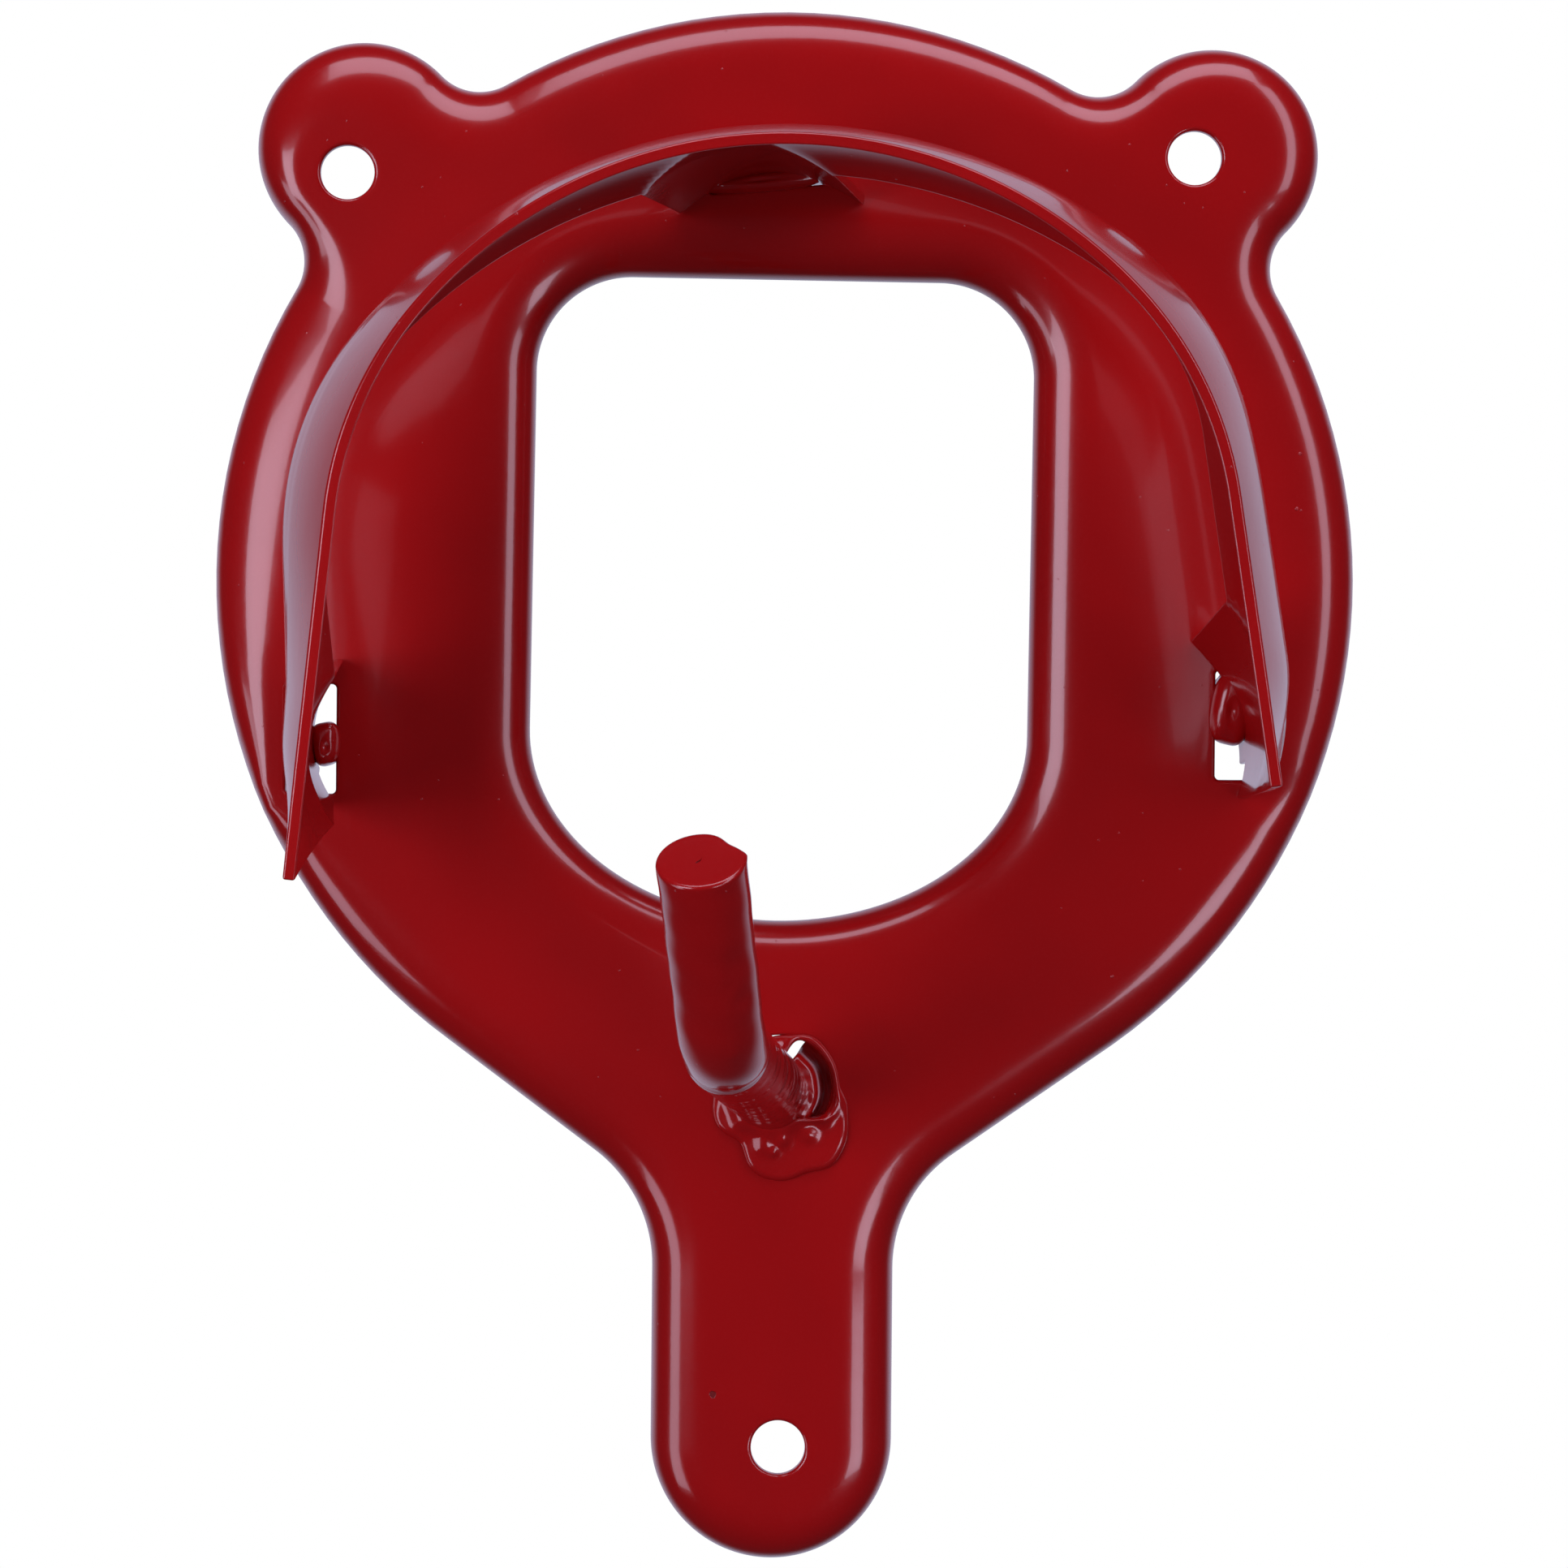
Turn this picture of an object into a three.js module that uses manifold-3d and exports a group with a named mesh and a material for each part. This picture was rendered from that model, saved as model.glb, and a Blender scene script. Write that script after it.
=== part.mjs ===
// Wall bracket for a horse's bridle: a pressed steel back plate, a bent sheet arch that
// carries the headpiece, and a bent rod hook for the reins, welded together and powder coated.
// Millimetres. +X right, +Z up, the wall is the plane y = 0 and the bracket stands out to -Y.
// The origin is on the wall, at the centre of the plate's round part.
import * as THREE from 'three';
import { mergeVertices } from 'three/addons/utils/BufferGeometryUtils.js';
import Module from 'manifold-3d';

const wasm = await Module();
wasm.setup();

const DEG = Math.PI / 180;
const GAP = 0.3;                 // clearance between pieces that meet

// ---- back plate --------------------------------------------------------------------
const PLATE_SHEET = 1.5;         // steel thickness
const PLATE_DEPTH = 8;           // wall to front face
const PLATE_RADIUS = 74.8;       // round part
const RIM_WIDTH = 8;             // how far in from the edge the rolled rim reaches
const RIM_POWER = 2.3;           // superellipse power of the rolled rim
const EAR_BEARING = 45.3;        // degrees up from the horizontal, seen from the origin
const EAR_REACH = 4.2;           // ear centres beyond the round part's edge
const EAR_RADIUS = 14;
const EAR_FILLET = 7;
const FLANK_SLOPE = 35.7;        // degrees, the straight flanks that run into the tail
const TAIL_WIDTH = 31.6;
const TAIL_OFFSET = -0.8;        // the tail sits a little to the left
const TAIL_DOWN = 112.4;         // centre of the tail's round end below the origin
const TAIL_FILLET = 18.5;
const WINDOW_WIDTH = 65.2;
const WINDOW_OFFSET = -0.4;
const WINDOW_TOP = 39.4;
const WINDOW_CORNER = 12.5;
const WINDOW_SHOULDER = -20;     // below here the window closes as half an ellipse
const WINDOW_BOTTOM = -44.6;
const WINDOW_TURN = -0.6;        // degrees, the window is pressed a little askew
const WINDOW_RIM = 8;            // width of the turned-in rim around the window
const WINDOW_FLANGE = 6;         // how deep that rim is turned back
const SCREW_HOLE = 7;
const LEFT_SCREW = [-1.7, -3.8]; // off the centre of its ear, as punched by hand
const RIGHT_SCREW = [-2.9, -1];
const TAIL_SCREW = [0.8, -0.2];  // off the centre of the tail's round end

// ---- bridle arch -------------------------------------------------------------------
const ARCH_SHEET = 1.5;
const ARCH_STRIP = 23.7;         // width of the strip, front to back
const ARCH_STANDOFF = 26.3;      // wall to the strip's rear edge
const ARCH_CROWN = 3.5;          // how far the pressed strip bulges outwards
const LEFT_CROWN = 4.8;          // the same at its left side, where it was bent harder
const CROWN_FADE = 16;           // length at each end over which the bulge flattens out
const CROWN_PEAK = 0.34;         // where across its width it bulges most, from the rear edge
const CROWN_POWER = 1.5;         // how the bulge falls off from there to the front edge
const LEG_BULGE = 3.5;           // how far each leg bulges outwards across itself
const LEG_TWIST = 3.15;          // degrees that the strip is turned against its feet
const LEG_LEAN = 1;              // how far the legs lean inwards at the plate
const TAB_WIDTH = 13.4;          // tongue of each leg that enters its slot
const TAB_END = 3.4;             // wall to the end of the tongue
const SLOT_WIDTH = 6.5;
// The strip's two edges as seen from the front: a round top, two tighter shoulders and
// straight, slightly splayed sides; each edge is turned a little about the wall's normal.
// `left` and `right` are the lengths along the edge from its top to its two ends.
const FRONT_EDGE = {
  x: -1.15, z: -2, turn: 1.4, top: 53, topRadius: 56.8, shoulderRadius: 44.8,
  halfWidth: 54.7, splay: 7.3, left: 118.8, right: 109.5,
};
const REAR_EDGE = {
  x: -3.2, z: 8.85, turn: 7.7, top: 41.6, topRadius: 68.6, shoulderRadius: 31.1,
  halfWidth: 56.05, splay: 0.9, left: 114, right: 120.6,
};
const LEFT_CORNER = [-2.6, 3.6]; // how far the strip's lower left rear corner is pressed off
const RIGHT_CORNER = [4, 4];     // the same for the lower corner of the right leg's foot
// The legs' places along the strip, as shares of the way from its left end to its right end,
// how far their feet are set off sideways and up, and their slots: the angle in degrees, the
// length beyond the tongue's width and how far inside and below the tongue's middle they lie.
const LEGS = [
  { name: 'left', from: 0, to: 0.0955, foot: [-1.1, -1], slotTurn: 90, slack: 0.8, inset: 0.5, drop: 0.8 },
  { name: 'top', from: 0.441, to: 0.546, foot: [2, 0], slotTurn: 5.5, slack: 3.4, inset: -0.8, drop: 0 },
  { name: 'right', from: 0.896, to: 1, foot: [-0.8, -1.9], slotTurn: 90, slack: 0.8, inset: 0.65, drop: 1.1 },
];

// ---- rein hook ---------------------------------------------------------------------
const ROD = 10;
const ROD_BEND = 13;             // centre line radius of the bend
const HOOK_HOLE_SLACK = 3.6;     // hole diameter beyond the rod's
const HOOK_HOLE_AT = [-0.3, -65.9];
const HOOK_ROOT = [-1.4, -66.4]; // where the shaft crosses the plate's front face
const HOOK_CORNER = [-8, -54.7]; // where the straight parts would meet
const HOOK_CORNER_OUT = 66.5;    // wall to that corner
const HOOK_TIP = [-10.6, -32.7];
const HOOK_TIP_OUT = 81.6;
const HOOK_BACK = 3.2;           // wall to the shaft's rear end

// ---- welds -------------------------------------------------------------------------
const PUDDLE_LIP = [2, 2.5];     // half the puddle's width and height beyond the hook's hole
const PUDDLE_THICK = 1.3;
const PUDDLE_SHOULDER = 0.7;     // share of that thickness where its top starts to round
const PUDDLE_AT = [0.8, -68.6];
const BEAD_LENGTH = 6.4;
const BEAD_DEPTH = 6;

const ARC_STEP = 9 * DEG;        // finest turn of an arc in the outlines
const MARGIN = 2;                // how far cutting bodies run past what they cut

// ==== helpers =======================================================================

function toManifold(geometry) {
  const bare = geometry.clone();
  bare.deleteAttribute('normal');
  bare.deleteAttribute('uv');
  const merged = mergeVertices(bare, 1e-5);
  const vertProperties = new Float32Array(merged.attributes.position.array);
  const triVerts = new Uint32Array(merged.index.array);
  return new wasm.Manifold(new wasm.Mesh({ numProp: 3, vertProperties, triVerts }));
}

function toGeometry(solid) {
  const { vertProperties, triVerts, numProp } = solid.getMesh();
  const positions = new Float32Array(vertProperties.length / numProp * 3);
  for (let i = 0; i < positions.length / 3; i += 1) {
    for (let k = 0; k < 3; k += 1) positions[i * 3 + k] = vertProperties[i * numProp + k];
  }
  const geometry = new THREE.BufferGeometry();
  geometry.setAttribute('position', new THREE.BufferAttribute(positions, 3));
  geometry.setIndex(new THREE.BufferAttribute(new Uint32Array(triVerts), 1));
  return geometry;
}

function indexed(points, index) {
  const geometry = new THREE.BufferGeometry();
  geometry.setAttribute('position', new THREE.Float32BufferAttribute(points.flat(), 3));
  geometry.setIndex(index);
  return geometry;
}

// Points of an arc from angle a to angle b in radians, both ends included.
function arc(cx, cz, radius, a, b) {
  const steps = Math.max(2, Math.ceil(Math.abs(b - a) / ARC_STEP));
  const points = [];
  for (let i = 0; i <= steps; i += 1) {
    const angle = a + (b - a) * i / steps;
    points.push([cx + radius * Math.cos(angle), cz + radius * Math.sin(angle)]);
  }
  return points;
}

// A half outline from its top down to its bottom, closed with its mirror image; the loop
// runs counter-clockwise as seen from the front.
function mirrored(half) {
  const left = half.slice(1, -1).map(([x, z]) => [-x, z]);
  return [...half.slice().reverse(), ...left];
}

// Closed solid through loops of equal point count, from the wall outwards. A loop is
// { points: [[x, z], ...], out }, where `out` is its distance from the wall.
function loft(loops) {
  const count = loops[0].points.length;
  const vertices = [];
  for (const loop of loops) {
    for (const [x, z] of loop.points) vertices.push([x, -loop.out, z]);
  }
  const index = [];
  for (let s = 0; s < loops.length - 1; s += 1) {
    for (let i = 0; i < count; i += 1) {
      const a = s * count + i;
      const b = s * count + (i + 1) % count;
      index.push(a, b, b + count, a, b + count, a + count);
    }
  }
  const cap = (s, flip) => {
    const flat = loops[s].points.map(([x, z]) => new THREE.Vector2(x, z));
    for (const [a, b, c] of THREE.ShapeUtils.triangulateShape(flat, [])) {
      const [p, q] = flip ? [c, b] : [b, c];
      index.push(s * count + a, s * count + p, s * count + q);
    }
  };
  cap(0, true);
  cap(loops.length - 1, false);
  return toManifold(indexed(vertices, index));
}

// Straight prism standing out from the wall, between two distances from it.
function prism(points, near, far) {
  return loft([{ points, out: near }, { points, out: far }]);
}

const hookHoleRadius = (ROD + HOOK_HOLE_SLACK) / 2;

function circle([x, z], radius) {
  return arc(x, z, radius, 0, 2 * Math.PI).slice(0, -1);
}

// ==== back plate ====================================================================

// Centre of the ear on one side, left (-1) or right (1).
function earCentre(side) {
  const span = PLATE_RADIUS + EAR_REACH;
  return [side * span * Math.cos(EAR_BEARING * DEG), span * Math.sin(EAR_BEARING * DEG)];
}

// Centre of the fillet that touches the round part and the right ear from outside, above
// the ear (side 1) or below it (side -1).
function earFilletCentre(side) {
  const span = PLATE_RADIUS + EAR_REACH;
  const toMain = PLATE_RADIUS + EAR_FILLET;
  const toEar = EAR_RADIUS + EAR_FILLET;
  const along = (span * span + toMain * toMain - toEar * toEar) / (2 * span);
  const off = Math.sqrt(toMain * toMain - along * along) * side;
  const ux = Math.cos(EAR_BEARING * DEG);
  const uz = Math.sin(EAR_BEARING * DEG);
  return [ux * along - uz * off, uz * along + ux * off];
}

// Right half of the plate's outline, moved in by `inset`: round part, fillet, ear, fillet,
// round part, straight flank, fillet and tail.
function plateHalf(inset) {
  const main = PLATE_RADIUS - inset;
  const [earX, earZ] = earCentre(1);
  const [ax, az] = earFilletCentre(1);
  const [bx, bz] = earFilletCentre(-1);
  const earFillet = EAR_FILLET + inset;
  const aToEar = Math.atan2(earZ - az, earX - ax);
  const bToEar = Math.atan2(earZ - bz, earX - bx);
  const slope = FLANK_SLOPE * DEG;
  const tailFillet = TAIL_FILLET + inset;
  const tailHalf = TAIL_WIDTH / 2 - inset;
  const filletX = tailHalf + tailFillet;
  const filletZ = Math.tan(slope) * filletX - (main + tailFillet) / Math.cos(slope);
  return [
    ...arc(0, 0, main, Math.PI / 2, Math.atan2(az, ax)),
    ...arc(ax, az, earFillet, Math.atan2(-az, -ax), aToEar).slice(1),
    ...arc(earX, earZ, EAR_RADIUS - inset, aToEar + Math.PI, bToEar - Math.PI).slice(1),
    ...arc(bx, bz, earFillet, bToEar, Math.atan2(-bz, -bx) + 2 * Math.PI).slice(1),
    ...arc(0, 0, main, Math.atan2(bz, bx), slope - Math.PI / 2).slice(1),
    ...arc(filletX, filletZ, tailFillet, slope + Math.PI / 2, Math.PI),
    ...arc(0, -TAIL_DOWN, tailHalf, 0, -Math.PI / 2),
  ];
}

// Whole outline of the plate; the tail is eased over to its offset along the flanks.
function plateOutline(inset) {
  const easeFrom = PLATE_RADIUS * Math.cos(FLANK_SLOPE * DEG);
  const easeTo = TAIL_DOWN - TAIL_WIDTH;
  return mirrored(plateHalf(inset)).map(([x, z]) => [
    x + TAIL_OFFSET * THREE.MathUtils.smoothstep(-z, easeFrom, easeTo), z]);
}

// Outline of the window, grown by `grow` on all sides: corners above, half an ellipse below.
function windowOutline(grow) {
  const half = WINDOW_WIDTH / 2 + grow;
  const corner = WINDOW_CORNER + grow;
  const drop = WINDOW_SHOULDER - WINDOW_BOTTOM + grow;
  const ellipse = arc(0, 0, 1, 0, -Math.PI / 2).map(([x, z]) => [half * x, WINDOW_SHOULDER + drop * z]);
  const halfLoop = [
    [0, WINDOW_TOP + grow],
    ...arc(half - corner, WINDOW_TOP + grow - corner, corner, Math.PI / 2, 0),
    ...ellipse,
  ];
  const c = Math.cos(WINDOW_TURN * DEG);
  const s = Math.sin(WINDOW_TURN * DEG);
  return mirrored(halfLoop).map(([x, z]) => [x * c - z * s + WINDOW_OFFSET, x * s + z * c]);
}

// Loops of a rolled edge that rises from distance `from` to `height` over `width`, as a
// superellipse; `outlineAt` gives the outline for a distance in from the edge.
function rolledEdge(outlineAt, from, height, width, steps) {
  const loops = [];
  for (let i = 0; i <= steps; i += 1) {
    const turn = i / steps * Math.PI / 2;
    const inwards = width * (1 - Math.cos(turn) ** (2 / RIM_POWER));
    const rise = Math.sin(turn) ** (2 / RIM_POWER);
    loops.push({ points: outlineAt(inwards), out: from + (height - from) * rise });
  }
  return loops;
}

function backPlate() {
  const rimSteps = 4;
  const below = -MARGIN;
  const beyond = PLATE_DEPTH + MARGIN;
  const skirt = 1;
  const back = PLATE_DEPTH - PLATE_SHEET;
  const outer = rolledEdge(plateOutline, skirt, PLATE_DEPTH, RIM_WIDTH, rimSteps);
  const inner = rolledEdge(
    (d) => plateOutline(PLATE_SHEET + d), skirt, back, RIM_WIDTH - PLATE_SHEET, rimSteps);
  const hollow = loft([{ points: plateOutline(PLATE_SHEET), out: below }, ...inner]);
  // The turned-in window rim: what is open in front of it, and what its metal fills behind.
  const flangeEnd = PLATE_DEPTH - WINDOW_FLANGE;
  const opening = rolledEdge(
    (d) => windowOutline(d), flangeEnd, PLATE_DEPTH, WINDOW_RIM, rimSteps);
  const lining = rolledEdge(
    (d) => windowOutline(PLATE_SHEET + d), flangeEnd, back, WINDOW_RIM - PLATE_SHEET, rimSteps);
  const windowCut = loft([
    { points: windowOutline(0), out: below }, ...opening,
    { points: windowOutline(WINDOW_RIM), out: beyond }]);
  const windowMetal = loft([...lining,
    { points: windowOutline(WINDOW_RIM), out: beyond }]);
  let plate = loft([{ points: plateOutline(0), out: 0 }, ...outer]);
  plate = plate.subtract(hollow.subtract(windowMetal)).subtract(windowCut);
  const drill = (points) => {
    plate = plate.subtract(prism(points, below, beyond));
  };
  const drillScrew = ([x, z], [offX, offZ]) => drill(circle([x + offX, z + offZ], SCREW_HOLE / 2));
  drillScrew(earCentre(-1), LEFT_SCREW);
  drillScrew(earCentre(1), RIGHT_SCREW);
  drillScrew([TAIL_OFFSET, -TAIL_DOWN], TAIL_SCREW);
  drill(circle(HOOK_HOLE_AT, hookHoleRadius));
  for (const leg of LEGS) drill(slotOutline(leg));
  return toGeometry(plate);
}

// ==== bridle arch ===================================================================

// Point and outward normal at `length` along one edge of the strip from its top, to the
// right when positive: the round top, then the shoulder, then the straight splayed side.
function edgeAt(edge, length) {
  const splay = edge.splay * DEG;
  const normal = [Math.cos(splay), Math.sin(splay)];
  const centreZ = edge.top - edge.topRadius;
  const startX = edge.halfWidth - edge.shoulderRadius * normal[0];
  const startZ = -edge.shoulderRadius * normal[1] - centreZ;
  const reach = edge.topRadius - edge.shoulderRadius;
  const b = -startX * normal[1] + startZ * normal[0];
  const along = -b + Math.sqrt(b * b - startX * startX - startZ * startZ + reach * reach);
  const shoulderX = startX - along * normal[1];
  const shoulderZ = startZ + along * normal[0];
  const topTurn = Math.atan2(shoulderX, shoulderZ);
  const sideTurn = Math.PI / 2 - splay;
  const topLength = edge.topRadius * topTurn;
  const bentLength = topLength + edge.shoulderRadius * (sideTurn - topTurn);
  const s = Math.abs(length);
  let turn = sideTurn;
  let x = shoulderX;
  let z = shoulderZ + centreZ;
  if (s < topLength) {
    turn = s / edge.topRadius;
    x = edge.topRadius * Math.sin(turn);
    z = centreZ + edge.topRadius * Math.cos(turn);
  } else {
    turn = Math.min(sideTurn, topTurn + (s - topLength) / edge.shoulderRadius);
    x += edge.shoulderRadius * Math.sin(turn);
    z += edge.shoulderRadius * Math.cos(turn);
  }
  if (s > bentLength) {
    x += (s - bentLength) * normal[1];
    z -= (s - bentLength) * normal[0];
  }
  const side = length < 0 ? -1 : 1;
  const c = Math.cos(edge.turn * DEG);
  const q = Math.sin(edge.turn * DEG);
  const [px, nx] = [side * x, side * Math.sin(turn)];
  const nz = Math.cos(turn);
  return {
    point: [edge.x + px * c - z * q, edge.z + px * q + z * c],
    normal: [nx * c - nz * q, nx * q + nz * c],
  };
}

function legAt(share) {
  return LEGS.find((leg) => share >= leg.from && share <= leg.to);
}

// How far a leg bulges outwards at a share of the strip: a parabola across each leg.
function legBulge(share) {
  const leg = legAt(share);
  if (!leg) return 0;
  const across = (2 * share - leg.from - leg.to) / (leg.to - leg.from);
  return LEG_BULGE * (1 - across * across);
}

// How far the strip's middle bulges outwards: more at the left, and fading at both ends.
function crownAt(share) {
  const { smoothstep, lerp } = THREE.MathUtils;
  const fromEnd = Math.min(share, 1 - share) * (REAR_EDGE.left + REAR_EDGE.right);
  const peak = lerp(LEFT_CROWN, ARCH_CROWN, smoothstep(share, 0, LEGS[1].from));
  return peak * smoothstep(fromEnd, -CROWN_FADE / 4, CROWN_FADE);
}

// The strip's cross section, from 0 at its edges to 1 at its peak: a parabola behind the
// peak and a flatter curve in front of it.
function section(v) {
  if (v < CROWN_PEAK) return v / CROWN_PEAK * (2 - v / CROWN_PEAK);
  return 1 - ((v - CROWN_PEAK) / (1 - CROWN_PEAK)) ** CROWN_POWER;
}

// Middle of the sheet at a share of the strip's length and a distance from the wall. The
// strip bulges between its edges; a leg takes over where it bulges further out, which leaves
// a mitred fold between them.
function sheetAt(share, out) {
  const lengthAt = (edge) => -edge.left + (edge.left + edge.right) * share;
  const rear = edgeAt(REAR_EDGE, lengthAt(REAR_EDGE));
  const front = edgeAt(FRONT_EDGE, lengthAt(FRONT_EDGE));
  const v = Math.max(0, (out - ARCH_STANDOFF) / ARCH_STRIP);
  const mix = (a, b) => a + (b - a) * v;
  const n = [mix(rear.normal[0], front.normal[0]), mix(rear.normal[1], front.normal[1])];
  const size = Math.hypot(...n);
  const behind = Math.max(0, (ARCH_STANDOFF - out) / (ARCH_STANDOFF - PLATE_DEPTH));
  const crown = crownAt(share) * section(v);
  const bulge = v < 0.5 ? Math.max(crown, legBulge(share)) : crown;
  const push = bulge - LEG_LEAN * behind;
  const x = mix(rear.point[0], front.point[0]) + n[0] / size * push;
  const z = mix(rear.point[1], front.point[1]) + n[1] / size * push;
  const c = Math.cos(LEG_TWIST * behind * DEG);
  const q = Math.sin(LEG_TWIST * behind * DEG);
  const foot = (legAt(share) ?? LEGS[0]).foot;
  const atLeft = Math.max(0, 1 - share / LEGS[0].to) * (1 - v);
  const atRight = Math.max(0, 1 - (1 - share) / (1 - LEGS[2].from)) * behind;
  const off = (k) => foot[k] * behind + LEFT_CORNER[k] * atLeft + RIGHT_CORNER[k] * atRight;
  return {
    point: [x * c + z * q + off(0), z * c - x * q + off(1)],
    normal: [(n[0] * c + n[1] * q) / size, (n[1] * c - n[0] * q) / size],
  };
}

// Where a leg's tongue crosses the plate, and its share of the strip to each side.
function tongue(leg) {
  const length = REAR_EDGE.left + REAR_EDGE.right;
  const middle = (leg.from + leg.to) / 2;
  const halfShare = TAB_WIDTH / 2 / length;
  return { middle, from: middle - halfShare, to: middle + halfShare };
}

function slotOutline(leg) {
  const { point, normal } = sheetAt(tongue(leg).middle, PLATE_DEPTH);
  const half = (TAB_WIDTH + leg.slack) / 2;
  const cx = point[0] - normal[0] * leg.inset;
  const cz = point[1] - normal[1] * leg.inset - leg.drop;
  const c = Math.cos(leg.slotTurn * DEG);
  const s = Math.sin(leg.slotTurn * DEG);
  const side = SLOT_WIDTH / 2;
  const corners = [[-half, -side], [half, -side], [half, side], [-half, side]];
  return corners.map(([x, z]) => [cx + x * c - z * s, cz + x * s + z * c]);
}

// Evenly spaced values from a to b, without b.
function spread(a, b, steps) {
  return Array.from({ length: steps }, (_, i) => a + (b - a) * i / steps);
}

// The whole sheet as one grid of cells: the strip everywhere, legs behind it in their own
// columns down to the plate, and a narrower tongue in the middle of each leg.
function bridleArch() {
  const columns = [];
  let last = 0;
  for (const leg of LEGS) {
    const { from, to } = tongue(leg);
    if (leg.from > last) columns.push(...spread(last, leg.from, 14));
    columns.push(...spread(leg.from, from, 2), ...spread(from, to, 4), ...spread(to, leg.to, 2));
    last = leg.to;
  }
  columns.push(1);
  const strip = ARCH_STANDOFF + ARCH_STRIP;
  const foot = PLATE_DEPTH + GAP;
  const rows = [
    ...spread(TAB_END, foot, 1), ...spread(foot, ARCH_STANDOFF, 3),
    ...spread(ARCH_STANDOFF, strip, 8), strip];
  const inside = (list, share) => list.some((l) => share > l.from && share < l.to);
  const tongues = LEGS.map(tongue);
  const filled = (i, j) => {
    if (i < 0 || j < 0 || i >= columns.length - 1 || j >= rows.length - 1) return false;
    const share = (columns[i] + columns[i + 1]) / 2;
    if (rows[j] >= ARCH_STANDOFF) return true;
    return inside(rows[j] >= foot ? LEGS : tongues, share);
  };
  const vertices = [];
  for (const share of columns) {
    for (const out of rows) {
      const { point, normal } = sheetAt(share, out);
      for (const side of [-0.5, 0.5]) {
        const step = ARCH_SHEET * side;
        vertices.push([point[0] + normal[0] * step, -out, point[1] + normal[1] * step]);
      }
    }
  }
  const at = (i, j, side) => (i * rows.length + j) * 2 + side;
  const index = [];
  const quad = (a, b, c, d) => index.push(a, c, b, a, d, c);
  for (let i = 0; i < columns.length - 1; i += 1) {
    for (let j = 0; j < rows.length - 1; j += 1) {
      if (!filled(i, j)) continue;
      const corners = [[i, j], [i + 1, j], [i + 1, j + 1], [i, j + 1]];
      quad(...corners.map(([a, b]) => at(a, b, 1)));
      quad(...corners.map(([a, b]) => at(a, b, 0)).reverse());
      const beyond = [[i, j - 1], [i + 1, j], [i, j + 1], [i - 1, j]];
      beyond.forEach(([a, b], k) => {
        if (filled(a, b)) return;
        const [p, q] = [corners[k], corners[(k + 1) % 4]];
        quad(at(...p, 0), at(...q, 0), at(...q, 1), at(...p, 1));
      });
    }
  }
  return toGeometry(toManifold(indexed(vertices, index)));
}

// ==== rein hook =====================================================================

// Centre line of the bent rod: a straight shaft, a circular bend and a straight end.
class HookLine extends THREE.Curve {
  constructor(root, corner, tip, radius) {
    super();
    this.inwards = new THREE.Vector3().subVectors(corner, root).normalize();
    this.outwards = new THREE.Vector3().subVectors(tip, corner).normalize();
    this.turn = this.inwards.angleTo(this.outwards);
    this.radius = radius;
    const setback = radius * Math.tan(this.turn / 2);
    this.root = root;
    this.bendStart = corner.clone().addScaledVector(this.inwards, -setback);
    this.bendEnd = corner.clone().addScaledVector(this.outwards, setback);
    this.lengths = [
      root.distanceTo(this.bendStart), radius * this.turn, this.bendEnd.distanceTo(tip)];
    this.total = this.lengths.reduce((sum, part) => sum + part, 0);
    this.side = this.outwards.clone()
      .addScaledVector(this.inwards, -Math.cos(this.turn)).normalize();
  }

  getPoint(t, target = new THREE.Vector3()) {
    let s = t * this.total;
    if (s <= this.lengths[0]) return target.copy(this.root).addScaledVector(this.inwards, s);
    s -= this.lengths[0];
    if (s <= this.lengths[1]) {
      const angle = s / this.radius;
      return target.copy(this.bendStart)
        .addScaledVector(this.inwards, this.radius * Math.sin(angle))
        .addScaledVector(this.side, this.radius * (1 - Math.cos(angle)));
    }
    return target.copy(this.bendEnd).addScaledVector(this.outwards, s - this.lengths[1]);
  }
}

function reinHook() {
  const root = new THREE.Vector3(HOOK_ROOT[0], -PLATE_DEPTH, HOOK_ROOT[1]);
  const corner = new THREE.Vector3(HOOK_CORNER[0], -HOOK_CORNER_OUT, HOOK_CORNER[1]);
  const tip = new THREE.Vector3(HOOK_TIP[0], -HOOK_TIP_OUT, HOOK_TIP[1]);
  const shaft = new THREE.Vector3().subVectors(corner, root).normalize();
  const back = root.clone().addScaledVector(shaft, (PLATE_DEPTH - HOOK_BACK) / shaft.y);
  const line = new HookLine(back, corner, tip, ROD_BEND);
  const section = new THREE.Shape().absarc(0, 0, ROD / 2, 0, 2 * Math.PI);
  const geometry = new THREE.ExtrudeGeometry(section, {
    extrudePath: line, steps: 30, curveSegments: 12, bevelEnabled: false,
  });
  return toGeometry(toManifold(geometry));
}

// ==== welds =========================================================================

// Weld puddle around the foot of the hook, with the hook and the open side of its hole cut out.
function hookWeld() {
  const oval = (grow) => arc(0, 0, 1, 0, 2 * Math.PI).slice(0, -1).map(([x, z]) => [
    PUDDLE_AT[0] + (hookHoleRadius + PUDDLE_LIP[0] + grow) * x,
    PUDDLE_AT[1] + (hookHoleRadius + PUDDLE_LIP[1] + grow) * z,
  ]);
  const base = PLATE_DEPTH + GAP;
  const puddle = loft([
    { points: oval(0), out: base },
    { points: oval(-PUDDLE_THICK / 3), out: base + PUDDLE_THICK * PUDDLE_SHOULDER },
    { points: oval(-PUDDLE_THICK), out: base + PUDDLE_THICK },
  ]);
  const hole = prism(circle(HOOK_HOLE_AT, hookHoleRadius), 0, base + PUDDLE_THICK + MARGIN);
  return toGeometry(puddle.subtract(hole));
}

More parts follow.
